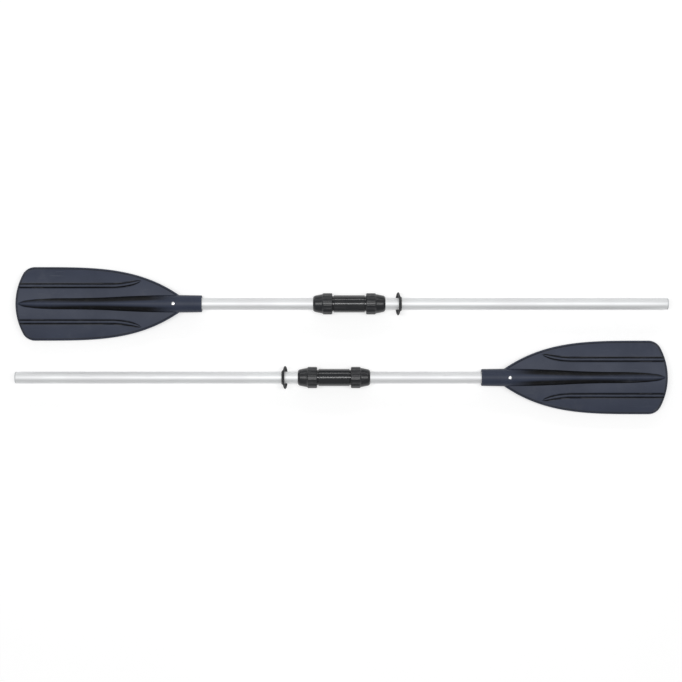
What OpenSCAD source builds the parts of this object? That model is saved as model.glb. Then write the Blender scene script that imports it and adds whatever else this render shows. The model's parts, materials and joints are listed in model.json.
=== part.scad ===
// A pair of take-apart single-bladed paddles (boat oars), lying head to tail on the ground.
// Each one is a ribbed blade on a short tube, a screw coupling, and a long handle tube with a
// drip ring. Left paddle: blade towards -X. The right one is the same, turned half a turn about Z.
// +X runs along the shafts, +Z is up, and the origin is under the middle of the pair.

/* [Paddle] */
// Length of one paddle from the blade's tip to the end of the handle
paddle_l = 1372; // [1300:2:1500]
// Distance between the two shafts, centre to centre
pair_gap = 155; // [150:1:200]

/* [Tubes] */
// Outer diameter of the aluminium tubes
tube_d = 25; // [24.6:0.1:25.4]
// Wall thickness of the tubes
tube_wall = 1.2; // [1:0.1:1.6]
// How far the front tube reaches into the blade past its shoulder
tube_in_blade = 88; // [60:1:110]

/* [Blade] */
// Length of the blade from its tip to the shoulder, where the socket starts
blade_l = 344.5; // [320:0.5:360]
// Greatest width of the blade
blade_w = 155.2; // [145:0.2:165]
// Thickness of the blade's plate
blade_t = 4; // [3:0.5:5]
// Radius of the blade's arch from edge to edge
camber_r = 375; // [300:5:600]
// Radius of the end of the tip
tip_r = 140; // [130:2:180]
// Radius of the tip's two corners
corner_r = 28; // [22:1:34]
// Distance from the tip at which the blade starts to narrow
narrow_from = 45; // [45:1:80]
// How late the blade narrows: a higher power keeps it wide for longer
narrow_power = 3.45; // [3:0.05:4]
// Height of the raised edge above the plate
rim_h = 0.9; // [0.4:0.1:1.5]
// Width of the raised edge
rim_w = 3.6; // [2.5:0.1:5]
// Height of the stiffening ribs above the plate
rib_h = 2; // [0.8:0.1:2.5]
// Width of a stiffening rib
rib_w = 7.8; // [5:0.2:10]
// Distance from the blade's middle to the straight part of a rib
rib_y = 38.2; // [34:0.2:42]
// Length of the socket past the shoulder
socket_l = 48; // [40:1:60]
// Diameter of the socket at the shoulder
socket_d = 36.8; // [35:0.2:39]
// Diameter of the socket at its open end
socket_end_d = 35.4; // [34:0.2:37]

/* [Rivets] */
// Distance from the shoulder back to the rivets
rivet_back = 11; // [8:0.5:20]
// Diameter of a rivet's shank
rivet_d = 4; // [3:0.2:5]
// Diameter of a rivet's head
rivet_head_d = 7.6; // [6:0.2:9]

/* [Coupling] */
// Distance from the middle of the paddle to the middle of the sleeve, towards the handle
sleeve_at = 16; // [0:1:60]
// Length of the sleeve's grip between its two necks
sleeve_l = 65; // [55:1:90]
// Diameter of the sleeve's grip
sleeve_d = 36.5; // [36:0.1:38]
// Length of each screwed neck
neck_l = 26; // [25:0.5:28]
// Diameter over the thread of a neck
neck_d = 32.8; // [32.4:0.1:33]

/* [Nuts] */
// Length of a nut
nut_l = 41; // [40:0.5:44]
// Diameter over the grip ribs of a nut
nut_d = 44.8; // [44:0.2:46]
// Length of the ribbed part of a nut
nut_grip_l = 19.5; // [16:0.5:21]
// Number of grip ribs on a nut
nut_ribs = 18; // [12:1:24]

/* [Drip ring] */
// Diameter of the drip ring
ring_d = 48.5; // [47:0.5:56]
// Distance from the sleeve's middle to the drip ring's hub
ring_from_sleeve = 104; // [98:1:140]
// How far the ring's rim stands forward of its hub
ring_dish = 2.6; // [1.5:0.1:7]
// Lean of the soft flange on its hub
ring_lean = 9; // [0:0.5:12]

/* [Hidden] */
$fn = 96;

shaft_h = ring_d / 2;             // the drip rings stand on the ground
tip_x = -paddle_l / 2;            // the blade's tip along the shaft
shoulder_x = tip_x + blade_l;     // where the blade meets its socket
half_w = blade_w / 2;
shoulder_r = socket_d / 2;
tube_r = tube_d / 2;
bore_r = tube_r - tube_wall;      // inside of the tubes
slip = 0.05;                      // radial clearance where a tube slides
gap = 0.35;                       // clearance between moving pieces
eps = 0.01;

// Where the front tube ends inside the blade, measured from the tip
tube_stop = blade_l - tube_in_blade;
// Radius of the round spine there
spine_r = tube_r + 3.8;
// Sink of the spine's ridge towards the tip, in degrees
ridge_sink = 2.7;
// Where the rivets stand along the shaft
rivet_x = shoulder_x - rivet_back;
rivet_seat = shoulder_r - 0.7;    // flat that the rivet's head sits on

stop_w = 2;                       // rib inside the sleeve that both tubes meet
stop_gap = 0.3;
groove_l = 3;                     // plain groove between the grip and a nut
cap_head = 2.5;                   // thickness of the end cap's head
ring_hub_l = 6;                   // length of the drip ring's hub
ring_seat = 0.3;                  // depth of the groove that the hub sits over

// ---- placing ------------------------------------------------------------------------------

module left_paddle() {
    translate([0, pair_gap / 2, shaft_h]) children();
}

module right_paddle() {
    rotate([0, 0, 180]) left_paddle() children();
}

// Turns a shape drawn along +Z so that it runs along the shaft from x, to the handle
module towards_handle(x) {
    translate([x, 0, 0]) rotate([0, 90, 0]) children();
}

// The same, towards the blade
module towards_blade(x) {
    translate([x, 0, 0]) rotate([0, -90, 0]) children();
}

// Puts a coupling piece, drawn outwards from the end of the grip, on the blade's side
module front_end() {
    towards_blade(sleeve_at - sleeve_l / 2) children();
}

// and on the handle's side
module rear_end() {
    towards_handle(sleeve_at + sleeve_l / 2) children();
}

// ---- blade --------------------------------------------------------------------------------

// Points on an arc round c from angle a0 to a1, in n steps
function arc(c, r, a0, a1, n) =
    [for (i = [0:n]) c + r * [cos(a0 + (a1 - a0) * i / n), sin(a0 + (a1 - a0) * i / n)]];

// Centre of a corner arc, which touches both the tip's arc and the straight side
corner_y = half_w - corner_r;
corner_x = tip_r - sqrt(pow(tip_r - corner_r, 2) - pow(corner_y, 2));
corner_a = 180 - atan2(corner_y, tip_r - corner_x);

// Half the plate's width at the shoulder, just inside the spine
neck_y = shoulder_r - 0.6;

// Half the blade's width at a distance u from the tip, along the narrowing side
function side_y(u) =
    half_w - (half_w - neck_y) * pow((u - narrow_from) / (blade_l - narrow_from), narrow_power);

// One side of the outline, from the middle of the tip to the shoulder
half_outline = concat(
    arc([tip_r, 0], tip_r, 180, corner_a + 2, 10),
    arc([corner_x, corner_y], corner_r, corner_a, 90, 10),
    [for (i = [0:24]) let (u = narrow_from + (blade_l - narrow_from) * i / 24) [u, side_y(u)]],
    [[blade_l + 4, shoulder_r - 6]]
);

// The other side, back from the shoulder, without the shared point at the tip
function flip(points) = [for (i = [len(points) - 1:-1:1]) [points[i][0], -points[i][1]]];

// The same side, moved inwards by d at right angles to itself
function inset(points, d) = [
    for (i = [0:len(points) - 1])
        let (a = points[max(i - 1, 0)],
             b = points[min(i + 1, len(points) - 1)],
             t = (b - a) / norm(b - a))
        i == 0 ? [d, 0] : points[i] + d * [t[1], -t[0]]
];

module outline(d = 0) {
    side = d == 0 ? half_outline : inset(half_outline, d);
    polygon(concat(side, flip(side)));
}

// A stiffening rib: straight from the tip, then curling outwards to a point
rib_start = 8;
rib_bend = 201;
rib_end = 263;
rib_out = 10;

function rib_mid(u) = rib_y + rib_out * pow(max(u - rib_bend, 0) / (rib_end - rib_bend), 2);
function rib_half(u) = rib_w / 2 * sqrt(max(1 - pow(max(u - rib_bend, 0) / (rib_end - rib_bend), 2), 0));

rib_line = concat([rib_start], [for (i = [0:12]) rib_bend + (rib_end - rib_bend) * i / 12]);

module rib_shape() {
    outer = [for (u = rib_line) [u, rib_mid(u) + rib_half(u)]];
    inner = [for (i = [len(rib_line) - 2:-1:0])
        let (u = rib_line[i]) [u, rib_mid(u) - rib_half(u)]];
    polygon(concat(outer, inner));
}

// An arched sheet of thickness t, as a slice of a wide tube along the blade
module arched_sheet(t) {
    translate([0, 0, -camber_r]) rotate([0, 90, 0]) difference() {
        translate([0, 0, -5]) cylinder(r = camber_r + t / 2, h = blade_l + 20);
        translate([0, 0, -6]) cylinder(r = camber_r - t / 2, h = blade_l + 22);
    }
}

// Gives a flat shape the arch and the thickness t
module arched(t) {
    intersection() {
        translate([0, 0, -40]) linear_extrude(height = 60) children();
        arched_sheet(t);
    }
}

// One face's share of the ridge that fades into the plate towards the tip. side: 1 top, -1 back
module ridge(side) {
    reach = tube_stop - 7;
    intersection() {
        translate([tube_stop, 0, 0]) rotate([0, -side * ridge_sink, 0]) rotate([0, -90, 0])
            rotate_extrude() polygon([
                [0, -3],
                [spine_r - 0.9, -3],
                [13.2, reach * 0.31],
                [13.1, reach * 0.47],
                [14.4, reach * 0.73],
                [13.5, reach],
                [0, reach]
            ]);
        translate([0, -30, side > 0 ? -0.5 : -39.5]) cube([blade_l, 60, 40]);
    }
}

// The round spine holds the front tube and runs on into the socket; it fades towards the tip
module spine() {
    end = tube_in_blade + socket_l;
    ridge(1);
    ridge(-1);
    translate([tube_stop, 0, 0]) rotate([0, 90, 0]) rotate_extrude() polygon([
        [0, -64],
        [spine_r / 2, -64],
        [spine_r, -4],
        [shoulder_r, tube_in_blade],
        [socket_end_d / 2, end - 1],
        [socket_end_d / 2 - 1, end],
        [0, end]
    ]);
}

module blade() {
    color("#39404c") translate([tip_x, 0, 0]) difference() {
        union() {
            arched(blade_t) outline();
            arched(blade_t + 2 * rim_h) difference() {
                outline();
                outline(rim_w);
            }
            arched(blade_t + 2 * rib_h) rib_shape();
            arched(blade_t + 2 * rib_h) mirror([0, 1]) rib_shape();
            spine();
        }
        translate([tube_stop, 0, 0]) rotate([0, 90, 0])
            cylinder(r = tube_r + slip, h = tube_in_blade + socket_l + 1);
        for (side = [-1, 1]) translate([blade_l - rivet_back, 0, 0]) {
            rotate([90 - side * 90, 0, 0]) cylinder(d = rivet_d + 2 * slip, h = shoulder_r + 4);
            rotate([90 - side * 90, 0, 0]) translate([0, 0, rivet_seat])
                cylinder(d = rivet_head_d + 0.8, h = 4);
        }
    }
}

// Blind rivet: domed head with a dimple, shank, and the set bulb inside the tube
module rivet() {
    bulb = bore_r;
    rotate_extrude() polygon([
        [0, bulb - 2.4],
        [rivet_d / 2 + 0.9, bulb - 1.8],
        [rivet_d / 2 + 1.1, bulb - 0.5],
        [rivet_d / 2, bulb - 0.5],
        [rivet_d / 2, rivet_seat],
        [rivet_head_d / 2, rivet_seat],
        [rivet_head_d / 2, rivet_seat + 0.35],
        [rivet_head_d / 2 - 0.9, rivet_seat + 0.95],
        [1.1, rivet_seat + 1.35],
        [1.0, rivet_seat + 0.5],
        [0, rivet_seat + 0.5]
    ]);
}

module blade_rivets() {
    color("#d4d8dc") for (side = [-1, 1])
        translate([rivet_x, 0, 0]) rotate([90 - side * 90, 0, 0]) rivet();
}

// ---- tubes --------------------------------------------------------------------------------

module tube(x0, x1) {
    color("#dfe3e4") towards_handle(x0) difference() {
        cylinder(r = tube_r, h = x1 - x0);
        translate([0, 0, -1]) cylinder(r = bore_r, h = x1 - x0 + 2);
    }
}

front_tube_end = sleeve_at - stop_w / 2 - stop_gap;
handle_tube_start = sleeve_at + stop_w / 2 + stop_gap;
handle_tube_end = paddle_l / 2 - cap_head;

module front_tube() {
    difference() {
        tube(tip_x + tube_stop + 0.5, front_tube_end);
        color("#dfe3e4") translate([rivet_x, 0, -tube_d])
            cylinder(d = rivet_d + 2 * slip, h = 2 * tube_d);
    }
}

// A shallow groove under the drip ring's hub marks its place
module handle_tube() {
    seat_x = sleeve_at + ring_from_sleeve;
    difference() {
        tube(handle_tube_start, handle_tube_end);
        color("#dfe3e4") towards_handle(seat_x + 1) difference() {
            cylinder(r = tube_r + 1, h = ring_hub_l - 0.5);
            translate([0, 0, -1]) cylinder(r = tube_r - ring_seat, h = ring_hub_l + 2);
        }
    }
}

// Push-in plug that keeps water out of a tube, so that the paddle floats
plug_l = 22;
plug_in = 4;

module tube_plug() {
    color("#c9b98a") rotate_extrude() polygon([
        [0, 0],
        [bore_r - 1, 0],
        [bore_r - slip, 2],
        [bore_r - slip, plug_l - 2],
        [bore_r - 1, plug_l],
        [0, plug_l]
    ]);
}

module front_tube_plug() {
    towards_blade(front_tube_end - plug_in) tube_plug();
}

module handle_tube_plug() {
    towards_handle(handle_tube_start + plug_in) tube_plug();
}

// End cap: a flush head with a rounded edge on a ribbed spigot
module end_cap() {
    spigot_l = 20;
    head_r = tube_r - 0.3;
    color("#cfd4d6") towards_handle(handle_tube_end) rotate_extrude() polygon(concat(
        [[0, -spigot_l], [bore_r - 1.2, -spigot_l], [bore_r - 0.6, -spigot_l + 2]],
        [for (i = [0:3], p = [[-0.6, 0], [-slip, 1], [-slip, 2], [-0.6, 3]])
            [bore_r + p[0], -spigot_l + 3 + 4 * i + p[1]]],
        [[bore_r - 0.6, 0], [head_r, 0]],
        arc([head_r - 1.2, cap_head - 1.2], 1.2, 0, 90, 6),
        [[0, cap_head]]
    ));
}

// ---- coupling -----------------------------------------------------------------------------
// Everything below is drawn outwards from the end of the grip: z = 0 at the grip's shoulder.

collet_lip = neck_l + 0.5;        // where the collet's collar starts
mouth_l = 12;                     // depth of the neck's tapered mouth
mouth_r = 15.2;

module coupling_sleeve() {
    seam_w = 1.2;
    seam_h = 0.4;
    neck_r = neck_d / 2;
    grip_r = sleeve_d / 2;
    half = sleeve_l / 2;
    color("#2b2e33") translate([sleeve_at, 0, 0]) difference() {
        union() {
            rotate([0, 90, 0]) rotate_extrude() polygon([
                [0, -half - neck_l],
                [neck_r - 0.8, -half - neck_l],
                [neck_r, -half - neck_l + 0.8],
                [neck_r, -half],
                [grip_r - 1, -half],
                [grip_r, -half + 1],
                [grip_r, half - 1],
                [grip_r - 1, half],
                [neck_r, half],
                [neck_r, half + neck_l - 0.8],
                [neck_r - 0.8, half + neck_l],
                [0, half + neck_l]
            ]);
            for (side = [-1, 1])
                translate([-half + 1.5, -seam_w / 2, side > 0 ? grip_r - 1 : -grip_r - seam_h])
                    cube([sleeve_l - 3, seam_w, 1 + seam_h]);
        }
        for (side = [-1, 1]) rotate([0, side * 90, 0]) {
            translate([0, 0, stop_w / 2]) cylinder(r = tube_r + slip, h = sleeve_l);
            translate([0, 0, half + neck_l - mouth_l])
                cylinder(r1 = tube_r + slip, r2 = mouth_r + 0.3, h = mouth_l + eps);
        }
        rotate([0, 90, 0]) cylinder(r = bore_r, h = 10, center = true);
    }
}

// Split collet that the nut squeezes onto the tube
module collet() {
    nose = neck_l - mouth_l + 1.5;
    collar_r = mouth_r + 0.6;
    color("#e6e6e0") difference() {
        rotate_extrude() polygon([
            [tube_r + slip, nose],
            [tube_r + 0.35, nose],
            [mouth_r - 0.1, neck_l],
            [collar_r, collet_lip],
            [collar_r, collet_lip + 3.6],
            [collar_r - 2.5, collet_lip + 8.5],
            [tube_r + slip, collet_lip + 8.5]
        ]);
        for (a = [0:60:120]) rotate([0, 0, a + 30])
            translate([-20, -0.6, nose - 1]) cube([40, 1.2, 13]);
    }
}

// Coupling nut: ribbed grip, then a cone with a rounded end, and a cone inside for the collet
module nut() {
    root_r = nut_d / 2 - 0.7;
    cone_r = nut_d / 2 - 2.1;
    nose_r = 17.6;
    round_r = 7;
    end = groove_l + nut_l;
    grip_end = groove_l + nut_grip_l;
    seat = collet_lip + 3.9;
    color("#26292e") difference() {
        union() {
            rotate_extrude() polygon(concat(
                [[0, groove_l], [root_r - 0.8, groove_l], [root_r, groove_l + 0.8]],
                [[root_r, grip_end], [cone_r, grip_end + 1.6]],
                arc([nose_r - round_r, end - round_r], round_r, 8, 90, 8),
                [[0, end]]
            ));
            for (i = [0:nut_ribs - 1]) rotate([0, 0, 360 * i / nut_ribs])
                translate([root_r - 0.9, 0, groove_l + 0.5])
                    cylinder(r = 1.6, h = nut_grip_l);
        }
        translate([0, 0, groove_l - 1]) cylinder(r = neck_d / 2 + gap, h = seat - groove_l + 1);
        translate([0, 0, seat - eps]) cylinder(r1 = neck_d / 2, r2 = tube_r + 0.5, h = 6.5);
        translate([0, 0, seat]) cylinder(r = tube_r + 0.5, h = 30);
    }
}

module front_collet() {
    front_end() collet();
}

module rear_collet() {
    rear_end() collet();
}

module front_nut() {
    front_end() nut();
}

module rear_nut() {
    rear_end() nut();
}

// ---- drip ring ----------------------------------------------------------------------------

// A soft dished flange on a short hub. Its hollow side faces the nut.
module drip_ring() {
    hub_r = tube_r + 2.2;
    rim_r = ring_d / 2 / cos(ring_lean);
    web = 1.8;
    color("#202326") translate([sleeve_at + ring_from_sleeve, 0, 0]) difference() {
        union() {
            rotate([0, 90, 0]) cylinder(r = hub_r, h = ring_hub_l);
            rotate([0, 90 + ring_lean, 0]) rotate_extrude() polygon([
                [tube_r - 1, 1],
                [hub_r + 1, 0.4],
                [rim_r - 3.5, -ring_dish + 1.2],
                [rim_r - 1.9, -ring_dish],
                [rim_r - 0.4, -ring_dish + 0.3],
                [rim_r, -ring_dish + 1.3],
                [rim_r - 0.5, -ring_dish + 2.2],
                [rim_r - 2.5, -ring_dish + 1.3 + web],
                [hub_r + 2.5, 1 + web],
                [tube_r - 1, 3 + web]
            ]);
        }
        translate([-20, 0, 0]) rotate([0, 90, 0]) cylinder(r = tube_r + slip, h = 40);
    }
}

// ---- assembly -----------------------------------------------------------------------------

left_paddle() blade();  // left_blade
left_paddle() blade_rivets();  // left_blade_rivets
left_paddle() front_tube();  // left_front_tube
left_paddle() front_tube_plug();  // left_front_tube_plug
left_paddle() coupling_sleeve();  // left_coupling_sleeve
left_paddle() front_collet();  // left_front_collet
left_paddle() front_nut();  // left_front_nut
left_paddle() rear_collet();  // left_rear_collet
left_paddle() rear_nut();  // left_rear_nut
left_paddle() handle_tube();  // left_handle_tube
left_paddle() handle_tube_plug();  // left_handle_tube_plug
left_paddle() drip_ring();  // left_drip_ring
left_paddle() end_cap();  // left_end_cap
right_paddle() blade();  // right_blade
right_paddle() blade_rivets();  // right_blade_rivets
right_paddle() front_tube();  // right_front_tube
right_paddle() front_tube_plug();  // right_front_tube_plug
right_paddle() coupling_sleeve();  // right_coupling_sleeve
right_paddle() front_collet();  // right_front_collet
right_paddle() front_nut();  // right_front_nut
right_paddle() rear_collet();  // right_rear_collet
right_paddle() rear_nut();  // right_rear_nut
right_paddle() handle_tube();  // right_handle_tube
right_paddle() handle_tube_plug();  // right_handle_tube_plug
right_paddle() drip_ring();  // right_drip_ring
right_paddle() end_cap();  // right_end_cap
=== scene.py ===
# Looks of the take-apart paddle pair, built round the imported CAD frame.
# Shapes are worked out in millimetres along one paddle: x from its middle towards the handle,
# y across, z up from the shaft's centre line. place() turns them into metres in the frame.
import json
import math
import bmesh
import bpy
import numpy as np
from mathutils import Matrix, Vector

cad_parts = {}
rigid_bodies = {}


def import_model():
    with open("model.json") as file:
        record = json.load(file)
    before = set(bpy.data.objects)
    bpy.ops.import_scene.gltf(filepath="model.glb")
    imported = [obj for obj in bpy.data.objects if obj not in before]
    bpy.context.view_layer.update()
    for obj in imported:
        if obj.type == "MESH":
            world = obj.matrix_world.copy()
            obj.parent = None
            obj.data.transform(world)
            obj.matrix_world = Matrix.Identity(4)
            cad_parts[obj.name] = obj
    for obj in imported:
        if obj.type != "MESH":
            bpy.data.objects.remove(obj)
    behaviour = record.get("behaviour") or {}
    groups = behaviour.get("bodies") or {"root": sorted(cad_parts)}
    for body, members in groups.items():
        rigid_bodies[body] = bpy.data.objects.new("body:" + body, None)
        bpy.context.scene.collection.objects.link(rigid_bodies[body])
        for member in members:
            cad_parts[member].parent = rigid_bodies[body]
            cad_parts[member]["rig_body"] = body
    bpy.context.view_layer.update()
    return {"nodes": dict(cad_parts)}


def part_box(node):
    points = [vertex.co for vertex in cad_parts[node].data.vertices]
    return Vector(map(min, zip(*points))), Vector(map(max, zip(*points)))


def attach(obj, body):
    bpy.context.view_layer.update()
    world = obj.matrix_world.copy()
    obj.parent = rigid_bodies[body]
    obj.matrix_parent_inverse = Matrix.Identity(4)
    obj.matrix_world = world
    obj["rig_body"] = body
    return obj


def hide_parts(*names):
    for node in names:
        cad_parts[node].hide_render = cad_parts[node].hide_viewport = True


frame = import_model()
print("frame loaded:", len(frame["nodes"]), "nodes")

mm = 0.001
paddles = {"left": 1, "right": -1}   # the right paddle is the left one turned half a turn
slip = 0.05                          # the tubes' clearance in whatever holds them
tubeWall = 1.2


def boxOf(node):
    low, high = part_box(node)
    return np.array(low) / mm, np.array(high) / mm


tubeLow, tubeHigh = boxOf("left_handle_tube")
shaftY = (tubeLow[1] + tubeHigh[1]) / 2
shaftZ = (tubeLow[2] + tubeHigh[2]) / 2
tubeR = (tubeHigh[1] - tubeLow[1]) / 2
boreR = tubeR - tubeWall
sleeveLow, sleeveHigh = boxOf("left_coupling_sleeve")
sleeveMid = (sleeveLow[0] + sleeveHigh[0]) / 2


# Small helpers

filletPoints = 6
mergeWithin = 0.004   # millimetres, for joining seams and poles


def ease(start, end, x):   # 0 before start, 1 after end, a smooth S between
    s = np.clip((x - start) / (end - start), 0, 1)
    return s * s * (3 - 2 * s)


def smoothLine(x, knots):   # a cubic through the given knots, each one's slope taken from its neighbours
    kx, ky = np.array(knots, float).T
    slope = np.gradient(ky, kx)
    i = np.clip(np.searchsorted(kx, x) - 1, 0, len(kx) - 2)
    h = kx[i + 1] - kx[i]
    s = np.clip((x - kx[i]) / h, 0, 1)
    rise = s * s * (3 - 2 * s)
    lean = s * (1 - s) ** 2 * slope[i] - s * s * (1 - s) * slope[i + 1]
    return ky[i] * (1 - rise) + ky[i + 1] * rise + h * lean


def blendHigher(a, b, k):   # the higher of two heights, with a fillet about k wide where they cross
    k = np.maximum(k, 1e-6)
    return np.maximum(a, b) + np.maximum(k - np.abs(a - b), 0) ** 2 / (4 * k)


# A path through corners given as (along, radius, fillet). Each fillet is a round arc, drawn as a cubic
# between the points that lie that far before and after its corner. Runs longer than step are split.
def roundedPath(corners, step, closed=True):
    points = [np.array(c[:2], float) for c in corners]
    path = []
    for k, here in enumerate(points):
        fillet = corners[k][2]
        atEnd = not closed and k in (0, len(corners) - 1)
        if fillet == 0 or atEnd:
            path.append(here)
            continue
        back, on = points[k - 1] - here, points[(k + 1) % len(points)] - here
        backLength, onLength = np.linalg.norm(back), np.linalg.norm(on)
        reach = min(fillet, 0.48 * backLength, 0.48 * onLength)
        a, b = here + back / backLength * reach, here + on / onLength * reach
        turn = max(math.pi - math.acos(np.clip(back @ on / backLength / onLength, -1, 1)), 1e-3)
        pull = 4 / 3 * math.tan(turn / 4) / math.tan(turn / 2)      # makes the cubic below a round arc
        a1, b1 = a + (here - a) * pull, b + (here - b) * pull
        for t in np.linspace(0, 1, filletPoints):
            path.append((1 - t) ** 3 * a + 3 * t * (1 - t) ** 2 * a1 + 3 * t * t * (1 - t) * b1 + t ** 3 * b)
    ends = path[1:] + path[:1] if closed else path[1:]
    fine = [] if closed else [path[0]]
    for a, b in zip(path, ends):
        n = max(1, math.ceil(np.linalg.norm(b - a) / step))
        fine += [a + (b - a) * k / n for k in range(1, n + 1)]
    return np.array(fine)


def turned(path, angles, rise=0.0):   # a path of (along, radius) swept round the shaft's line
    along = path[:, :1] + 0 * angles      # the same for every angle
    radius = path[:, 1:] + rise + 0 * angles
    return np.stack([along, radius * np.cos(angles), radius * np.sin(angles)], -1)


def aroundShaft(count):   # evenly spaced angles, the last one short of a full turn
    return np.arange(count)[None, :] * 2 * math.pi / count


def cornerMarks(path, corners, reach=1.3):   # 1 at the rounded corners, fading over reach
    rounded = np.array([c[:2] for c in corners if c[2] > 0], float)
    away = np.linalg.norm(path[:, None, :] - rounded[None, :, :], axis=2).min(axis=1)
    return np.exp(-away / reach)[:, None]


def gridFaces(rows, cols, wrapRows, wrapCols):   # the four-sided faces of a grid of points, row by row
    i, j = np.meshgrid(np.arange(rows - (not wrapRows)), np.arange(cols - (not wrapCols)), indexing="ij")
    iNext, jNext = (i + 1) % rows, (j + 1) % cols
    quads = [i * cols + j, i * cols + jNext, iNext * cols + jNext, iNext * cols + j]
    return np.stack(quads, -1).reshape(-1, 4)


# The second mark is where edges rub; the third is painted shade, darkening where less light falls.
def patch(grid, wrapRows=False, wrapCols=False, flip=False, mark=0.0, paintedShade=0.0):
    rows, cols = grid.shape[:2]
    faces = gridFaces(rows, cols, wrapRows, wrapCols)
    edges, paintedShades = (np.broadcast_to(values, (rows, cols)).reshape(-1) for values in (mark, paintedShade))
    return grid.reshape(-1, 3), faces[:, ::-1] if flip else faces, edges, paintedShades


def atCoupling(grid, end):   # from the sleeve's middle outwards; the front end is the rear one turned round
    turn = 1 if end == "rear" else -1
    return grid * np.array([turn, turn, 1]) + np.array([sleeveMid, 0, 0])


def place(grid, paddle):
    turn = paddles[paddle]
    moved = grid + np.array([0, shaftY, shaftZ])
    return moved * np.array([turn, turn, 1]) * mm


def makePiece(node, patches, paddle, finish, sharp=38):
    name = f"{paddle}_{node}_shape"
    node = f"{paddle}_{node}"
    starts = np.cumsum([0] + [len(p[0]) for p in patches])
    points = place(np.concatenate([p[0] for p in patches]), paddle)
    faces = np.concatenate([p[1] + start for p, start in zip(patches, starts)])
    mesh = bpy.data.meshes.new(name)
    mesh.from_pydata(points.tolist(), [], faces.tolist())
    for k, label in ((2, "edgeMark"), (3, "paintedShadeMark")):   # 1 on edges that rub, or where shade is painted
        layer = mesh.attributes.new(label, "FLOAT", "POINT")
        layer.data.foreach_set("value", np.concatenate([p[k] for p in patches]).astype(np.float32))
    shell = bmesh.new()
    shell.from_mesh(mesh)
    bmesh.ops.remove_doubles(shell, verts=shell.verts, dist=mergeWithin * mm)
    bmesh.ops.dissolve_degenerate(shell, edges=shell.edges, dist=mergeWithin / 4 * mm)
    openEdges = sum(1 for edge in shell.edges if not edge.is_manifold)
    print(f"{name}: {len(shell.faces)} faces, open edges {openEdges},",
          f"volume {shell.calc_volume() * 1e6:.1f} cm3")
    shell.to_mesh(mesh)
    shell.free()
    mesh.shade_smooth()
    mesh.set_sharp_from_angle(angle=math.radians(sharp))
    mesh.materials.append(finish)
    piece = bpy.data.objects.new(name, mesh)
    bpy.context.collection.objects.link(piece)
    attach(piece, frame["nodes"][node]["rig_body"])
    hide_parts(node)
    return piece


# Camera and light

camera = {
    "height": 3.1,         # straight above the pair
    "offset": (-0.0013, -0.0007),
    "shown": 1.4342,       # width of what it sees, at the height of the shafts
    "farthest": 50,
}

light = {
    "world": 0.29,
    "backdrop": 0.93,      # what shows past the end of the floor
    "key": 142.0,          # a long soft panel above, a little towards the left paddle
    "keySize": (5.0, 0.85),
    "keyAt": (0, 0.10, 4.4),
    "strip": 23.0,         # a long low panel beyond it, for the bright line on the sleeves
    "stripSize": (5.0, 0.36),
    "stripAt": (0, 3.0, 1.75),
}


def addNode(tree, kind, settings=None, values=None):
    node = tree.nodes.new(kind)
    for key, value in (settings or {}).items():
        setattr(node, key, value)
    for key, value in (values or {}).items():
        node.inputs[key].default_value = value
    return node


def makeCamera():
    data = bpy.data.cameras.new("camera")
    data.sensor_fit = "HORIZONTAL"
    data.angle = 2 * math.atan(camera["shown"] / 2 / (camera["height"] - shaftZ * mm))
    data.clip_end = camera["farthest"]
    eye = bpy.data.objects.new("camera", data)
    eye.location = (*camera["offset"], camera["height"])
    bpy.context.collection.objects.link(eye)
    bpy.context.scene.camera = eye


def makePanel(name, energy, size, location):   # turned about x until it faces the middle of the pair
    data = bpy.data.lights.new(name, "AREA")
    data.shape = "RECTANGLE"
    data.size, data.size_y = size
    data.energy = energy
    panel = bpy.data.objects.new(name, data)
    panel.location = location
    panel.rotation_euler = (-math.atan2(location[1], location[2]), 0, 0)
    panel.visible_camera = False
    bpy.context.collection.objects.link(panel)


def makeLight():
    world = bpy.data.worlds.new("softRoom")
    world.use_nodes = True
    tree = world.node_tree
    background = tree.nodes["Background"]
    background.inputs["Color"].default_value = (1, 1, 1, 1)
    levels = {"To Min": light["world"], "To Max": light["backdrop"]}
    seen = addNode(tree, "ShaderNodeLightPath")
    strength = addNode(tree, "ShaderNodeMapRange", values=levels)
    tree.links.new(seen.outputs["Is Camera Ray"], strength.inputs["Value"])
    tree.links.new(strength.outputs["Result"], background.inputs["Strength"])
    bpy.context.scene.world = world
    makePanel("keyPanel", light["key"], light["keySize"], light["keyAt"])
    makePanel("stripPanel", light["strip"], light["stripSize"], light["stripAt"])
    bpy.context.scene.view_settings.view_transform = "Standard"


makeCamera()
makeLight()
print("camera and light ready")


# Finishes: shared effects first, as node groups

def newGroup(name, inputs, output):
    group = bpy.data.node_groups.new(name, "ShaderNodeTree")
    for label, value in inputs.items():
        socket = group.interface.new_socket(name=label, in_out="INPUT", socket_type="NodeSocketFloat")
        socket.default_value = value
    group.interface.new_socket(name=output, in_out="OUTPUT", socket_type="NodeSocketFloat")
    return group, group.nodes.new("NodeGroupInput").outputs, group.nodes.new("NodeGroupOutput").inputs


def mathNode(tree, operation, a, b):   # a and b are sockets or plain numbers
    node = addNode(tree, "ShaderNodeMath", {"operation": operation})
    for k, value in enumerate((a, b)):
        if isinstance(value, (int, float)):
            node.inputs[k].default_value = value
        else:
            tree.links.new(value, node.inputs[k])
    return node.outputs[0]


def objectSpace(tree, scale=(1, 1, 1), turn=0.0):   # object coordinates, stretched and turned about z
    where = addNode(tree, "ShaderNodeTexCoord")
    mapping = addNode(tree, "ShaderNodeMapping", values={"Scale": scale, "Rotation": (0, 0, turn)})
    tree.links.new(where.outputs["Object"], mapping.inputs["Vector"])
    return mapping.outputs["Vector"]


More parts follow.
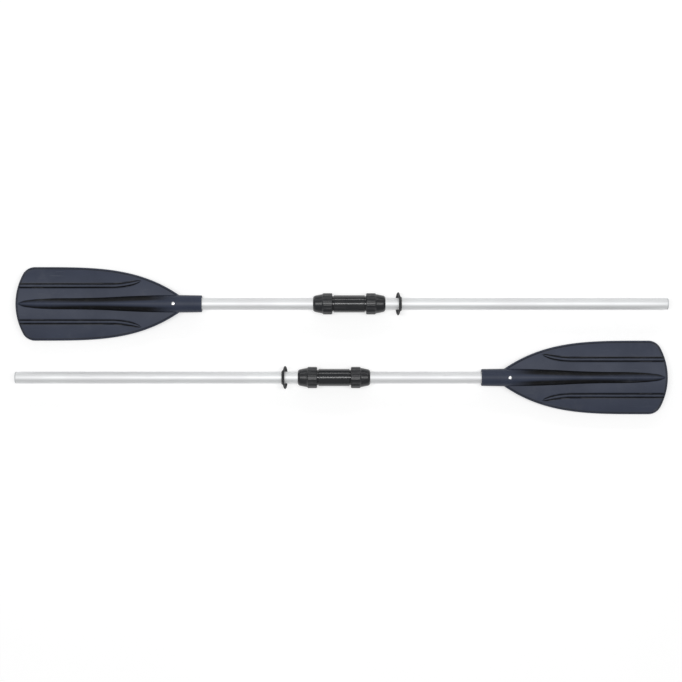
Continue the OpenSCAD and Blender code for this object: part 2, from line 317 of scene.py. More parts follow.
def noise(tree, vector, scale, detail=3.0, roughness=0.5):
    node = addNode(tree, "ShaderNodeTexNoise", values={"Detail": detail, "Roughness": roughness})
    tree.links.new(vector, node.inputs["Vector"])
    if isinstance(scale, (int, float)):
        node.inputs["Scale"].default_value = scale
    else:
        tree.links.new(scale, node.inputs["Scale"])
    return node.outputs["Fac"]


def between(tree, value, low, high, top=1.0):   # 0 below low, top above high
    settings = {"interpolation_type": "SMOOTHSTEP"}
    node = addNode(tree, "ShaderNodeMapRange", settings, {"From Min": low, "From Max": high, "To Max": top})
    tree.links.new(value, node.inputs["Value"])
    return node.outputs["Result"]


def makeMouldGrain():   # the fine texture that a mould leaves
    group, given, result = newGroup("mouldGrain", {"Size": 1400.0}, "Height")
    where = objectSpace(group)
    fine = noise(group, where, given["Size"], 2.0, 0.6)
    coarse = noise(group, where, mathNode(group, "MULTIPLY", given["Size"], 0.22), 2.0)
    finePart = mathNode(group, "MULTIPLY", fine, 0.6)
    coarsePart = mathNode(group, "MULTIPLY", coarse, 0.4)
    group.links.new(mathNode(group, "ADD", finePart, coarsePart), result["Height"])
    return group


def makeSoftTone():   # broad, faint blotches
    group, given, result = newGroup("softTone", {"Size": 14.0}, "Mask")
    tone = noise(group, objectSpace(group), given["Size"], 4.0, 0.55)
    group.links.new(between(group, tone, 0.3, 0.7), result["Mask"])
    return group


def makeFineScuffs():   # hair-thin scratches, most of them along the paddle, in loose patches
    group, given, result = newGroup("fineScuffs", {"Density": 260.0, "Amount": 0.5}, "Mask")
    lengthways = noise(group, objectSpace(group, (0.05, 1, 1)), given["Density"], 1.0)
    slanting = noise(group, objectSpace(group, (0.07, 1, 1), 0.5), given["Density"], 1.0)
    lines = mathNode(group, "MAXIMUM", between(group, lengthways, 0.66, 0.74),
                     between(group, slanting, 0.69, 0.76))
    patches = between(group, noise(group, objectSpace(group), 11.0, 2.0), 0.42, 0.66)
    scratches = mathNode(group, "MULTIPLY", lines, patches)
    group.links.new(mathNode(group, "MULTIPLY", scratches, given["Amount"]), result["Mask"])
    return group


def makeRubbedEdge():   # wear on the marked edges, broken up so that it isn't an even line
    group, given, result = newGroup("rubbedEdge", {"Amount": 0.5, "Chips": 90.0}, "Mask")
    mark = addNode(group, "ShaderNodeAttribute", {"attribute_name": "edgeMark"})
    chips = between(group, noise(group, objectSpace(group), given["Chips"], 4.0, 0.6), 0.4, 0.65)
    worn = mathNode(group, "MULTIPLY", mark.outputs["Fac"], chips)
    group.links.new(mathNode(group, "MULTIPLY", worn, given["Amount"]), result["Mask"])
    return group


def makePaintedShade():   # painted shade: plastic darkened in the hollows and on the steep sides, where less light falls
    group, given, result = newGroup("paintedShadeGroup", {"Amount": 0.8}, "Mask")
    mark = addNode(group, "ShaderNodeAttribute", {"attribute_name": "paintedShadeMark"})
    uneven = between(group, noise(group, objectSpace(group), 60.0, 3.0), 0.2, 0.5)
    kept = mathNode(group, "ADD", mathNode(group, "MULTIPLY", uneven, 0.15), 0.85)
    paintedDark = mathNode(group, "MULTIPLY", mark.outputs["Fac"], kept)
    group.links.new(mathNode(group, "MULTIPLY", paintedDark, given["Amount"]), result["Mask"])
    return group


def makeSettledDust():   # pale specks and a faint film on what faces up
    group, given, result = newGroup("settledDust", {"Amount": 0.3}, "Mask")
    facing = addNode(group, "ShaderNodeNewGeometry")
    split = addNode(group, "ShaderNodeSeparateXYZ")
    group.links.new(facing.outputs["Normal"], split.inputs["Vector"])
    upwards = between(group, split.outputs["Z"], 0.4, 1.0)
    where = objectSpace(group)
    specks = between(group, noise(group, where, 700.0, 1.0), 0.74, 0.79)
    film = between(group, noise(group, where, 20.0, 5.0, 0.65), 0.5, 0.8, 0.3)
    both = mathNode(group, "MULTIPLY", mathNode(group, "MAXIMUM", specks, film), upwards)
    group.links.new(mathNode(group, "MULTIPLY", both, given["Amount"]), result["Mask"])
    return group


def makeDrawnLines():   # the die lines that run the whole length of a drawn tube
    group, given, result = newGroup("drawnLines", {"Density": 1500.0}, "Height")
    fine = noise(group, objectSpace(group, (0.003, 1, 1)), given["Density"], 2.0, 0.6)
    fewer = mathNode(group, "MULTIPLY", given["Density"], 0.25)
    broad = noise(group, objectSpace(group, (0.002, 1, 1)), fewer, 1.0)
    finePart = mathNode(group, "MULTIPLY", fine, 0.5)
    broadPart = mathNode(group, "MULTIPLY", broad, 0.5)
    group.links.new(mathNode(group, "ADD", finePart, broadPart), result["Height"])
    return group


mouldGrain = makeMouldGrain()
softTone = makeSoftTone()
fineScuffs = makeFineScuffs()
rubbedEdge = makeRubbedEdge()
paintedShadeGroup = makePaintedShade()
settledDust = makeSettledDust()
drawnLines = makeDrawnLines()


class Finish:   # a material being put together: its tree, its shader, and its colour and roughness so far

    def __init__(self, name, colour, rough, metal=0.0, specular=0.5):
        self.material = bpy.data.materials.new(name)
        self.material.use_nodes = True
        self.tree = self.material.node_tree
        self.shader = self.tree.nodes["Principled BSDF"]
        self.shader.inputs["Metallic"].default_value = metal
        self.shader.inputs["Specular IOR Level"].default_value = specular
        self.colour = colour
        self.rough = rough
        self.normal = None

    def effect(self, group, **values):
        return addNode(self.tree, "ShaderNodeGroup", {"node_tree": group}, values).outputs[0]

    def tint(self, mask, colour, share=1.0):   # mixes a colour over what is there
        mix = addNode(self.tree, "ShaderNodeMix", {"data_type": "RGBA"})
        amount = mask if share == 1.0 else mathNode(self.tree, "MULTIPLY", mask, share)
        self.tree.links.new(amount, mix.inputs[0])    # a mix node's colours are its inputs 6 and 7
        if isinstance(self.colour, tuple):
            mix.inputs[6].default_value = (*self.colour, 1)
        else:
            self.tree.links.new(self.colour, mix.inputs[6])
        mix.inputs[7].default_value = (*colour, 1)
        self.colour = mix.outputs[2]

    def roughen(self, mask, amount):   # adds that much roughness where the mask is 1
        self.rough = mathNode(self.tree, "ADD", mathNode(self.tree, "MULTIPLY", mask, amount), self.rough)

    def bump(self, height, distance):   # distance in millimetres, laid over any bump that is there
        node = addNode(self.tree, "ShaderNodeBump", values={"Strength": 1.0, "Distance": distance * mm})
        self.tree.links.new(height, node.inputs["Height"])
        if self.normal is not None:
            self.tree.links.new(self.normal, node.inputs["Normal"])
        self.normal = node.outputs["Normal"]

    def done(self):
        self.tree.links.new(self.colour, self.shader.inputs["Base Color"])
        if isinstance(self.rough, float):
            self.shader.inputs["Roughness"].default_value = self.rough
        else:
            self.tree.links.new(self.rough, self.shader.inputs["Roughness"])
        if self.normal is not None:
            self.tree.links.new(self.normal, self.shader.inputs["Normal"])
        return self.material


def makePlastic(name, colour, dark, worn, rough, specular, grain, grainDepth, scuffs, wear, dust, coat=0.0):
    finish = Finish(name, colour, rough, specular=specular)
    finish.shader.inputs["Coat Weight"].default_value = coat
    finish.shader.inputs["Coat Roughness"].default_value = 0.06
    tone = finish.effect(softTone, Size=14.0)
    finish.tint(tone, dark)
    scratched = finish.effect(fineScuffs, Density=260.0, Amount=scuffs)
    rubbed = finish.effect(rubbedEdge, Amount=wear, Chips=90.0)
    dusty = finish.effect(settledDust, Amount=dust)
    # painted shade: near black in the hollows and on the steep sides, standing in for the shade that falls
    # there
    paintedShadeMask = finish.effect(paintedShadeGroup, Amount=1.0)
    finish.tint(paintedShadeMask, tuple(0.02 * part for part in dark))
    finish.tint(scratched, worn)
    finish.tint(rubbed, worn)
    finish.tint(dusty, (0.42, 0.42, 0.41), 0.35)
    finish.roughen(tone, 0.05)
    finish.roughen(rubbed, 0.20)
    finish.roughen(scratched, 0.12)
    finish.roughen(dusty, 0.25)
    finish.bump(finish.effect(mouldGrain, Size=grain), grainDepth)
    finish.bump(scratched, -0.004)
    return finish.done()


def makeMetal(name, colour, dull, rough, metal, density, depth, scuffs):
    finish = Finish(name, colour, rough, metal)
    tone = finish.effect(softTone, Size=9.0)
    finish.tint(tone, dull)
    lines = finish.effect(drawnLines, Density=density)
    scratched = finish.effect(fineScuffs, Density=420.0, Amount=scuffs)
    finish.tint(scratched, tuple(0.7 * part for part in dull))
    finish.roughen(lines, 0.10)
    finish.roughen(tone, 0.04)
    finish.roughen(scratched, 0.15)
    finish.bump(lines, depth)
    return finish.done()


finishes = {
    "blade": makePlastic(
        "bladePlastic", colour=(0.031, 0.039, 0.065), dark=(0.026, 0.033, 0.056), worn=(0.085, 0.095, 0.12),
        rough=0.46, specular=0.24, grain=1500.0, grainDepth=0.012, scuffs=0.35, wear=0.30, dust=0.35),
    "sleeve": makePlastic(
        "sleevePlastic", colour=(0.014, 0.015, 0.018), dark=(0.011, 0.012, 0.014), worn=(0.06, 0.06, 0.065),
        rough=0.13, specular=0.5, grain=900.0, grainDepth=0.004, scuffs=0.30, wear=0.30, dust=0.25,
        coat=0.35),
    "nut": makePlastic(
        "nutPlastic", colour=(0.018, 0.019, 0.023), dark=(0.012, 0.013, 0.015), worn=(0.07, 0.07, 0.075),
        rough=0.27, specular=0.45, grain=1300.0, grainDepth=0.010, scuffs=0.30, wear=0.45, dust=0.30),
    "ring": makePlastic(
        "ringRubber", colour=(0.014, 0.015, 0.018), dark=(0.011, 0.012, 0.014), worn=(0.05, 0.05, 0.052),
        rough=0.52, specular=0.35, grain=1100.0, grainDepth=0.012, scuffs=0.15, wear=0.30, dust=0.60),
    "cap": makePlastic(
        "capPlastic", colour=(0.62, 0.64, 0.65), dark=(0.56, 0.58, 0.59), worn=(0.45, 0.46, 0.47),
        rough=0.38, specular=0.5, grain=1300.0, grainDepth=0.008, scuffs=0.35, wear=0.35, dust=0.20),
    "collet": makePlastic(
        "colletAcetal", colour=(0.72, 0.72, 0.67), dark=(0.66, 0.65, 0.59), worn=(0.50, 0.49, 0.45),
        rough=0.35, specular=0.5, grain=1300.0, grainDepth=0.006, scuffs=0.20, wear=0.20, dust=0.10),
    "plug": makePlastic(
        "plugFoam", colour=(0.55, 0.48, 0.30), dark=(0.48, 0.41, 0.25), worn=(0.40, 0.34, 0.20),
        rough=0.85, specular=0.2, grain=700.0, grainDepth=0.12, scuffs=0.10, wear=0.10, dust=0.20),
    "tube": makeMetal(
        "tubeAluminium", colour=(0.81, 0.825, 0.83), dull=(0.77, 0.775, 0.785),
        rough=0.52, metal=0.55, density=1500.0, depth=0.003, scuffs=0.30),
    "rivet": makeMetal(
        "rivetAluminium", colour=(0.90, 0.905, 0.91), dull=(0.84, 0.85, 0.86),
        rough=0.22, metal=1.0, density=900.0, depth=0.002, scuffs=0.12),
}
print("finishes ready:", len(finishes))


# Blade: plate with a raised edge, two ribs, and a spine that grows into the socket

blade = {
    "socketLength": 48,            # from the shoulder to the socket's open end
    "shoulderR": 18.4,
    "socketEndR": 17.7,
    "tubeDepth": 88,               # how far the tube reaches in past the shoulder
    "tipR": 140,                   # radius of the tip's end
    "cornerR": 28,
    "narrowFrom": 45,              # where the sides start to draw in, and how late they do it
    "narrowPower": 3.45,
    "camberR": 375,                # arch from edge to edge, gone at the shoulder
    "archFade": 40,
    "halfThick": 2.0,
    "edgeRise": 0.9,               # raised edge: height above the plate, and width
    "edgeWidth": 3.6,
    "tipCurl": 8,                  # how soon the rows straighten behind the rounded tip
    "ribY": 38.2,                  # straight part of a rib, from the middle
    "ribHalf": 4.0,
    "ribRise": 2.6,
    "ribRound": (2.2, 0.55),       # powers of a rib's section
    "ribLine": 0.45,               # depth of the fine line along its foot
    "ribStart": 8,
    "ribFade": 3,
    "ribBend": 201,                # where a rib starts to curl outwards
    "ribEnd": 263,
    "ribOut": 10,
    "ridgeHalf": [(2, 0), (12, 5.6), (35, 9.9), (70, 11.9), (138, 12.4), (180, 13.2),
                  (243, 16.1), (300, 17.9), (344.5, 18.4)],
    "ridgeCrest": [(0, -2), (5, 1.9), (12, 3.9), (35, 5.8), (70, 7.4), (138, 9.4), (180, 11.3),
                   (243, 15.2), (290, 17.5), (344.5, 18.4)],
    "ridgePowers": [(0, 1.3, 1.5), (120, 1.3, 1.6), (240, 1.65, 1.8), (320, 2, 2), (344.5, 2, 2)],
    "ridgeFillet": 0.8,
    "rivetBack": 11,               # rivets: from the shoulder
    "seatHeight": 17.7,            # flat under a rivet's head
    "seatR": 4.2,
    "seatSlope": 1.5,
    "rows": 185,
    "rivetRows": 21,               # extra rows over this reach to either side of a rivet
    "rivetReach": 5.5,
    "columns": (28, 30, 34),       # across the ridge, to the rib, to the edge
}

bladeLow, bladeHigh = boxOf("left_blade")
bladeTip = bladeLow[0]
bladeLength = bladeHigh[0] - bladeTip - blade["socketLength"]
halfWidth = (bladeHigh[1] - bladeLow[1]) / 2
cornerY = halfWidth - blade["cornerR"]
cornerX = blade["tipR"] - math.sqrt((blade["tipR"] - blade["cornerR"]) ** 2 - cornerY ** 2)
cornerJoinY = cornerY * blade["tipR"] / (blade["tipR"] - blade["cornerR"])
diagonal = blade["cornerR"] * math.sqrt(0.5)
cornerAt = (cornerX - diagonal, cornerY + diagonal)   # where the end edge becomes the side edge


def sideAt(u):   # half the width at u from the tip: the corner's arc, a straight, then a power curve
    arc = cornerY + np.sqrt(blade["cornerR"] ** 2 - np.maximum(cornerX - u, 0) ** 2)
    late = np.clip((u - blade["narrowFrom"]) / (bladeLength - blade["narrowFrom"]), 0, 1)
    return arc - (halfWidth - blade["shoulderR"]) * late ** blade["narrowPower"]


def endAt(y):   # how far the end edge lies behind the tip at y across: the tip's arc, then the corner's
    onTip = blade["tipR"] - np.sqrt(blade["tipR"] ** 2 - y ** 2)
    onCorner = cornerX - np.sqrt(blade["cornerR"] ** 2 - np.maximum(y - cornerY, 0) ** 2)
    return np.where(y < cornerJoinY, onTip, onCorner)


def edgeDistance(u, y):   # distance in from the outline, to whichever of its arcs and sides is nearest
    along = np.maximum(u, cornerX)
    slope = (sideAt(along + 0.5) - sideAt(along - 0.5)) * (u > blade["narrowFrom"])
    toSide = (sideAt(along) - y) / np.sqrt(1 + slope ** 2)
    toEnd = blade["tipR"] - np.hypot(np.minimum(u - blade["tipR"], 0), y)
    toCorner = blade["cornerR"] - np.hypot(u - cornerX, y - cornerY)
    inCorner = (u < cornerX) & (y - cornerY > (cornerX - u) * cornerY / (blade["tipR"] - cornerX))
    return np.maximum(np.where(inCorner, toCorner, np.minimum(toSide, toEnd)), 0)


def ribBendShare(u):   # 0 along a rib's straight part, 1 at its end
    return np.clip((u - blade["ribBend"]) / (blade["ribEnd"] - blade["ribBend"]), 0, 1)


def bladeRows():   # close together at the tip and round the rivets, in shares of the blade's length
    v = np.linspace(0, 1, blade["rows"]) ** 1.4
    middle = 1 - blade["rivetBack"] / bladeLength
    reach = blade["rivetReach"] / bladeLength
    closer = np.linspace(middle - reach, middle + reach, blade["rivetRows"])
    return np.sort(np.concatenate([v[abs(v - middle) > reach * 1.1], closer]))


# Where the columns stand across, as shares of the half width, row by row. There are three bands, from the
# middle to the ridge's foot, on to the rib's middle, and on to the edge, each closer where it bends most.
# Past the rib's end the second border drifts to the middle of what is left.
def bladeColumns(v):
    x = cornerAt[0] + (bladeLength - cornerAt[0]) * v
    side = sideAt(x)
    ridge = (smoothLine(x, blade["ridgeHalf"]) + 7 * (1 - ease(4, 60, x))) / side
    ribX = bladeLength * v + 0.5 * cornerAt[0] * (1 - v)
    onRib = (blade["ribY"] + blade["ribOut"] * ribBendShare(ribX) ** 2) / side
    share = np.where(ribX < blade["ribEnd"], (onRib - ridge) / np.maximum(1 - ridge, 1e-6), 0)
    drift = share.max() + (0.5 - share.max()) * ease(blade["ribEnd"], 325, ribX)
    share = np.where(ribX < blade["ribEnd"], share, drift)
    rib = ridge + (1 - ridge) * share
    first, second, third = (np.linspace(0, 1, n + 1) for n in blade["columns"])
    second = np.interp(second, [0, 0.3, 0.7, 1], [0, 0.12, 0.83, 1])[1:]
    nearEdge = 0.85 + 0.15 * (1 - (1 - np.clip((third - 0.62) / 0.38, 0, 1)) ** 1.6)
    third = np.where(third < 0.62, np.interp(third, [0, 0.28, 0.62], [0, 0.12, 0.85]), nearEdge)[1:]
    ridge, rib = ridge[:, None], rib[:, None]
    half = np.concatenate([ridge * np.sin(math.pi / 2 * first), ridge + (rib - ridge) * second,
                           rib + (1 - rib) * third], axis=1)
    return np.concatenate([-half[:, :0:-1], half], axis=1)


# One face, side 1 or -1. Rows follow the tip's curve and straighten out behind it. The plate's height is
# a quarter round at the edge, dropping behind the raised rim, less an arch of y squared over twice its
# radius. A rib adds (1 - a^p)^q, where a is the share of its half width. The ridge is a crest height times
# (1 - a^p)^(1/q), and the higher of plate and ridge wins, with a fillet. A rivet's seat cuts it flat.
def bladeSurface(side):
    v = bladeRows()
    t = bladeColumns(v)
    v = v[:, None]
    away = np.abs(t)
    x = bladeLength * v + away * cornerAt[0] * (1 - v)
    x = x + (1 - v) ** blade["tipCurl"] * (endAt(away * cornerAt[1]) - away * cornerAt[0])
    y = t * sideAt(cornerAt[0] + (bladeLength - cornerAt[0]) * v)
    y[-1] = blade["shoulderR"] * t[-1]
    d = edgeDistance(x, np.abs(y))
    d[0] = 0
    d[:, [0, -1]] = 0
    edgeR = blade["halfThick"] + blade["edgeRise"]
    plate = edgeR * np.sqrt(1 - (1 - np.clip(d / edgeR, 0, 1)) ** 2)
    plate -= blade["edgeRise"] * ease(blade["edgeWidth"] - 0.6, blade["edgeWidth"] + 0.9, d)
    bend = ribBendShare(x)
    half = blade["ribHalf"] * np.sqrt(np.maximum(1 - bend ** 5, 0.0004))
    fromRib = np.abs(np.abs(y) - blade["ribY"] - blade["ribOut"] * bend ** 2) / half
    across = np.clip(fromRib, 0, 1)
    taper = (half / blade["ribHalf"]) ** 0.5
    taper = taper * ease(blade["ribStart"] - blade["ribFade"], blade["ribStart"] + blade["ribFade"], x)
    taper = taper * ease(0, 2.5, d)   # nothing is left of it where the two faces meet
    p, q = blade["ribRound"]
    bead = blade["ribRise"] * (1 - across ** p) ** q * taper * (bend < 1)
    bead -= blade["ribLine"] * np.exp(-((fromRib - 1.08) / 0.16) ** 2) * taper * (bend < 1)
    arch = -y ** 2 / (2 * blade["camberR"]) * (1 - ease(bladeLength - blade["archFade"], bladeLength, x))
    width = np.maximum(smoothLine(x, blade["ridgeHalf"]), 0.01)
    crest = smoothLine(x, blade["ridgeCrest"])
    p, q = (smoothLine(x, [(knot[0], knot[k]) for knot in blade["ridgePowers"]]) for k in (1, 2))
    section = np.maximum(1 - np.clip(np.abs(y) / width, 0, 1) ** p, 0) ** (1 / q)
    ridge = np.where(np.abs(y) < width, crest * section, -100)
    z = blendHigher(side * arch + plate + bead, ridge, blade["ridgeFillet"] * np.clip(d / 4, 0, 1))
    fromRivet = np.hypot(x - bladeLength + blade["rivetBack"], y)
    z = np.minimum(z, blade["seatHeight"] + blade["seatSlope"] * np.maximum(fromRivet - blade["seatR"], 0))
    # The rim and the ribs rub. Shade is painted at the rim's and the ribs' feet, and on the ridge's steep
    # sides.
    mark = np.clip(np.exp(-d / 1.2) + 0.5 * (1 - across ** 2) * (bead > 0.5), 0, 1)
    slope = np.abs(np.gradient(z, axis=1)) / np.maximum(np.gradient(y, axis=1), 0.02)
    edgeFoot = np.exp(-((d - blade["edgeWidth"]) / 1.1) ** 2) * (1 - ease(330, 342, x))
    ribFoot = np.clip(1.3 * np.exp(-((fromRib - 0.95) / 0.42) ** 2) * taper, 0, 1) * (bend < 1)
    steep = ease(0.25, 0.65, slope) * ease(2.4, 3.2, d) * (1 - ease(275, 345, x))
    paintedShade = np.maximum(np.maximum(steep, ribFoot), 0.8 * edgeFoot)
    return np.stack([bladeTip + x, y, side * z], -1), mark, paintedShade


def socketPath():   # from the shoulder back along the outside, then in along the bore to its blind end
    end = bladeLength + blade["socketLength"]
    inside = bladeLength - blade["tubeDepth"]
    corners = [(bladeLength, blade["shoulderR"], 0), (end, blade["socketEndR"], 1.8),
               (end, tubeR + slip, 0.6), (inside, tubeR + slip, 0), (inside, 0, 0)]
    path = roundedPath(corners, 4, closed=False)
    return path + np.array([bladeTip, 0]), cornerMarks(path, corners)


def makeBlade(paddle):
    # each face carries its wear marks and its painted shade
    top, topMark, topPaintedShade = bladeSurface(1)
    bottom, bottomMark, bottomPaintedShade = bladeSurface(-1)
    socket, socketMark = socketPath()
    angles = aroundShaft(4 * blade["columns"][0])
    patches = [patch(top, flip=True, mark=topMark, paintedShade=topPaintedShade),
               patch(bottom, mark=bottomMark, paintedShade=bottomPaintedShade),
               patch(turned(socket, angles), wrapCols=True, mark=socketMark)]
    makePiece("blade", patches, paddle, finishes["blade"], 50)


# Rivets: a domed flange with a dimple, one in each face, set inside the tube

rivet = {
    "profile": [           # (height, radius, fillet)
        (8.9, 0, 0), (9.4, 2.9, 0.6), (10.8, 3.1, 0.3), (10.8, 2, 0), (17.7, 2, 0), (17.7, 3.8, 0),
        (18.0, 3.8, 0.2), (18.75, 2.9, 0.8), (19.05, 1.35, 0.3), (18.1, 1.05, 0.2), (18.1, 0, 0)],
    "columns": 40,
}


def makeRivets(paddle):
    path = roundedPath(rivet["profile"], 0.6, closed=False)
    grid = turned(path, aroundShaft(rivet["columns"]))[..., [1, 2, 0]]   # stands it up along z
    grid[..., 0] += bladeTip + bladeLength - blade["rivetBack"]
    marks = cornerMarks(path, rivet["profile"], 0.4)
    patches = [patch(grid * np.array([1, side, side]), wrapCols=True, mark=marks) for side in (1, -1)]
    makePiece("blade_rivets", patches, paddle, finishes["rivet"])


# Tubes and what closes them

tube = {
    "columns": 96,
    "step": 40,
    "ringSeat": 0.3,       # shallow groove that marks the drip ring's place
}

endCap = {
    "head": 2.5,           # thickness of what shows past the tube
    "headInset": 0.3,      # how much smaller than the tube it is
    "dimpleR": 4.2,
    "dimpleDepth": 0.5,
    "ribs": 4,             # gripping ribs inside the tube, and their spacing
    "ribStep": 4,
    "stemInset": 0.6,      # how far the stem between the ribs stands off the bore
}

ring = {
    "fromSleeve": 104,     # from the sleeve's middle to the hub
    "hubLength": 6,
    "lean": 0.158,         # how far the flange leans at the top, towards the handle, per mm of height
    "columns": 120,
}


def makeTube(node, paddle):   # a wall's section, out along the outside and back along the bore, swept round
    low, high = boxOf(f"left_{node}")
    seat = sleeveMid + ring["fromSleeve"]
    seatR = tubeR - tube["ringSeat"]
    groove = [(seat + 1, tubeR, 0), (seat + 1, seatR, 0),
              (seat + ring["hubLength"] + 0.5, seatR, 0), (seat + ring["hubLength"] + 0.5, tubeR, 0)]
    corners = [(low[0], tubeR, 0.35)] + (groove if node == "handle_tube" else [])
    corners += [(high[0], tubeR, 0.35), (high[0], boreR, 0.3), (low[0], boreR, 0.3)]
    path = roundedPath(corners, tube["step"])
    grid = turned(path, aroundShaft(tube["columns"]))
    marks = cornerMarks(path, corners)
    makePiece(node, [patch(grid, True, True, mark=marks)], paddle, finishes["tube"])


def makeEndCap(paddle):   # half a section from the middle of its inner end to the middle of its head
    low, high = boxOf("left_end_cap")
    face = high[0] - endCap["head"]
    headR = tubeR - endCap["headInset"]
    stemR = boreR - endCap["stemInset"]
    bottom = high[0] - endCap["dimpleDepth"]
    ribs = []
    for k in range(endCap["ribs"]):
        at = low[0] + 3 + endCap["ribStep"] * k
        ribs += [(at, stemR, 0), (at + 1, boreR - 0.05, 0.2), (at + 2, boreR - 0.05, 0.2), (at + 3, stemR, 0)]
    corners = [(low[0], 0, 0), (low[0], stemR - 0.6, 0.5), (low[0] + 2, stemR, 0), *ribs,
               (face, stemR, 0), (face, headR, 0.3), (high[0], headR, 1.6), (high[0], endCap["dimpleR"], 0.5),
               (bottom, endCap["dimpleR"] - 0.6, 0.4), (bottom, 0, 0)]
    path = roundedPath(corners, 1.5, closed=False)
    grid = turned(path, aroundShaft(tube["columns"]))
    marks = cornerMarks(path, corners)
    makePiece("end_cap", [patch(grid, wrapCols=True, mark=marks)], paddle, finishes["cap"])


# Coupling: a sleeve with a screwed neck at each end, and two ribbed nuts

sleeve = {
    "gripHalf": 32.5,      # half the grip's length
    "gripR": 18.25,
    "neck": 26,            # screwed neck: length and radius over the thread
    "neckR": 16.4,
    "mouth": 12,           # tapered mouth: depth and radius
    "mouthR": 15.5,
    "pitch": 4.0,
    "threadDepth": 0.9,
    "seamHalf": 0.75,      # parting seam on top and bottom
    "seamRise": 0.4,
    "step": 0.55,
    "columns": 168,
}

nut = {
    "start": 3,            # from the grip's end
    "length": 41,
    "gripLength": 19.5,
    "rootR": 21.7,
    "ribRise": 0.7,
    "ribs": 18,
    "ribColumns": 14,
    "coneR": 20.3,
    "noseR": 17.6,
    "noseRound": 7.0,
    "holeR": 13.0,
    "boreR": 16.75,
    "seat": 30.4,          # where the cone inside starts, and its length
    "seatLength": 6.5,
}


# The section of a wall swept round the shaft. The thread cuts a rounded wave into the necks, of x / pitch
# less the share of a turn, and a narrow seam stands proud along the grip's top and bottom.
def makeSleeve(paddle):
    half, neckEnd = sleeve["gripHalf"], sleeve["gripHalf"] + sleeve["neck"]
    oneEnd = [(1, boreR, 0), (1, tubeR + slip, 0), (neckEnd - sleeve["mouth"], tubeR + slip, 0),
              (neckEnd, sleeve["mouthR"], 0.2), (neckEnd, sleeve["neckR"], 0.8), (half, sleeve["neckR"], 0.3),
              (half, sleeve["gripR"], 1.2)]
    front = [(-x, r, f) for x, r, f in oneEnd]
    corners = front[3:] + oneEnd[::-1] + front[:3]         # towards the handle outside, and back inside
    path = roundedPath(corners, sleeve["step"])
    angles = aroundShaft(sleeve["columns"])
    angles = angles + 0.35 * np.sin(2 * angles)            # columns gathered at the seams
    x, r = path[:, :1], path[:, 1:]
    onOutside = r > sleeve["mouthR"] + 0.3
    onNeck = onOutside * ease(half + 2.2, half + 4.2, abs(x))
    onNeck = onNeck * (1 - ease(neckEnd - 3, neckEnd - 1.2, abs(x)))
    phase = x / sleeve["pitch"] - angles / (2 * math.pi)
    groove = ease(0.12, 0.42, np.abs(2 * (phase - np.floor(phase)) - 1))
    seamRun = (1 - ease(half - 2.2, half - 1.2, abs(x))) * onOutside
    seamAcross = 1 - ease(0.6, 1.0, np.abs(r * np.cos(angles)) / sleeve["seamHalf"])
    rise = sleeve["seamRise"] * seamRun * seamAcross - sleeve["threadDepth"] * groove * onNeck
    marks = np.maximum(cornerMarks(path, corners), 0.6 * seamRun * seamAcross)
    grid = turned(path, angles, rise) + np.array([sleeveMid, 0, 0])
    patches = [patch(grid, True, True, mark=marks)]
    makePiece("coupling_sleeve", patches, paddle, finishes["sleeve"])


# The section of a wall swept round the shaft, with a rounded nose. The grip's ribs are a raised cosine
# of the angle, sharpened by a power, and fade out at both ends of the grip.
def makeNut(end, paddle):
    start, stop = nut["start"], nut["start"] + nut["length"]
    gripEnd = start + nut["gripLength"]
    nose = nut["noseRound"]
    lean = np.radians(np.linspace(8, 66, 9))               # round the nose, down to the hole
    rounding = [(stop - nose + nose * math.sin(a), nut["noseR"] - nose + nose * math.cos(a), 0) for a in lean]
    corners = [(start, nut["rootR"], 0.9), (gripEnd, nut["rootR"], 0.6), (gripEnd + 1.6, nut["coneR"], 0.8),
               *rounding, (rounding[-1][0], nut["holeR"], 0.3),
               (nut["seat"] + nut["seatLength"], nut["holeR"], 0), (nut["seat"], nut["boreR"] - 0.35, 0),
               (nut["seat"], nut["boreR"], 0), (start, nut["boreR"], 0.4)]
    path = roundedPath(corners, 1.2)
    angles = aroundShaft(nut["ribs"] * nut["ribColumns"])
    x, r = path[:, :1], path[:, 1:]
    onGrip = ease(start + 0.3, start + 1.6, x) * (1 - ease(gripEnd - 0.8, gripEnd + 0.5, x))
    onGrip = onGrip * (r > nut["rootR"] - 1)
    ribbed = (0.5 + 0.5 * np.cos(nut["ribs"] * angles)) ** 1.6
    marks = np.maximum(cornerMarks(path, corners), 0.8 * ribbed * onGrip)
    grid = turned(path, angles, nut["ribRise"] * ribbed * onGrip) + np.array([sleeve["gripHalf"], 0, 0])
    patches = [patch(atCoupling(grid, end), True, True, mark=marks)]
    makePiece(f"{end}_nut", patches, paddle, finishes["nut"])


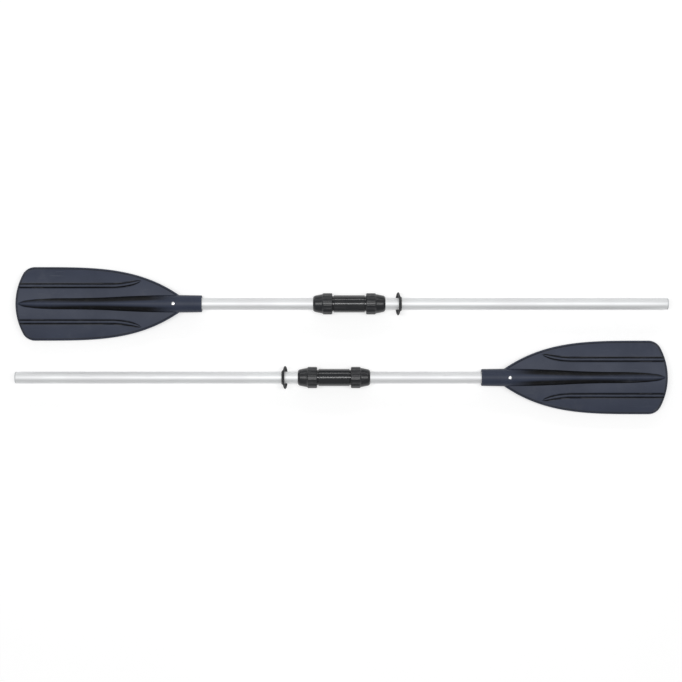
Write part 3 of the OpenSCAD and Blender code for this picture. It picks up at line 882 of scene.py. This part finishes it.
def makeDripRing(paddle):   # a hub and a dished flange in one section; the flange then leans with height
    low, high = boxOf("left_drip_ring")
    rimR = (high[1] - low[1]) / 2
    bore = tubeR + slip
    hubEnd = ring["hubLength"]
    hub = [(0, bore, 0.3), (0, 14.4, 0.6)]
    near = [(0.6, 15.6, 1.0), (-1.0, 20.3, 2)]
    rim = [(-2.5, 22.4, 0.8), (-2.4, 23.7, 0.7), (-1.3, rimR, 0.7), (-0.4, rimR - 0.6, 0.7)]
    far = [(0.5, 21.6, 2), (2.7, 17.0, 2), (4.6, 14.8, 1.2), (hubEnd, 14.5, 0.6), (hubEnd, bore, 0.3)]
    path = roundedPath(hub + near + rim + far, 0.8)
    grid = turned(path, aroundShaft(ring["columns"]))
    soft = ease(tubeR + 2.5, rimR - 2, path[:, 1:])        # the hub stays square, the rim leans
    grid[..., 0] += ring["lean"] * grid[..., 2] * soft + sleeveMid + ring["fromSleeve"]
    marks = cornerMarks(path, rim, 1.0)
    makePiece("drip_ring", [patch(grid, True, True, mark=marks)], paddle, finishes["ring"])


def keepNode(node, paddle, finish):   # a CAD node whose shape is right, given its finish
    shown = frame["nodes"][f"{paddle}_{node}"]
    shown.data.materials.clear()
    shown.data.materials.append(finishes[finish])


for paddle in paddles:
    makeBlade(paddle)
    makeRivets(paddle)
    makeTube("front_tube", paddle)
    makeTube("handle_tube", paddle)
    makeEndCap(paddle)
    makeSleeve(paddle)
    makeNut("front", paddle)
    makeNut("rear", paddle)
    makeDripRing(paddle)
    for node in ("front_collet", "rear_collet"):
        keepNode(node, paddle, "collet")
    for node in ("front_tube_plug", "handle_tube_plug"):
        keepNode(node, paddle, "plug")
    print(paddle, "paddle ready")


# Floor

floorPaint = {
    "reach": 40,           # metres to each side
    "colour": (0.55, 0.55, 0.55),
    "darker": (0.54, 0.54, 0.54),
    "glow": 0.5,           # keeps the shadows faint
}


def makeFloor():
    mesh = bpy.data.meshes.new("floor")
    reach = floorPaint["reach"]
    corners = [(-reach, -reach, 0), (reach, -reach, 0), (reach, reach, 0), (-reach, reach, 0)]
    mesh.from_pydata(corners, [], [(0, 1, 2, 3)])
    paint = Finish("paleFloor", floorPaint["colour"], 0.7, specular=0.1)
    paint.tint(paint.effect(softTone, Size=1.5), floorPaint["darker"])
    paint.shader.inputs["Emission Color"].default_value = (1, 1, 1, 1)
    paint.shader.inputs["Emission Strength"].default_value = floorPaint["glow"]
    mesh.materials.append(paint.done())
    floor = bpy.data.objects.new("floor", mesh)
    bpy.context.collection.objects.link(floor)


makeFloor()
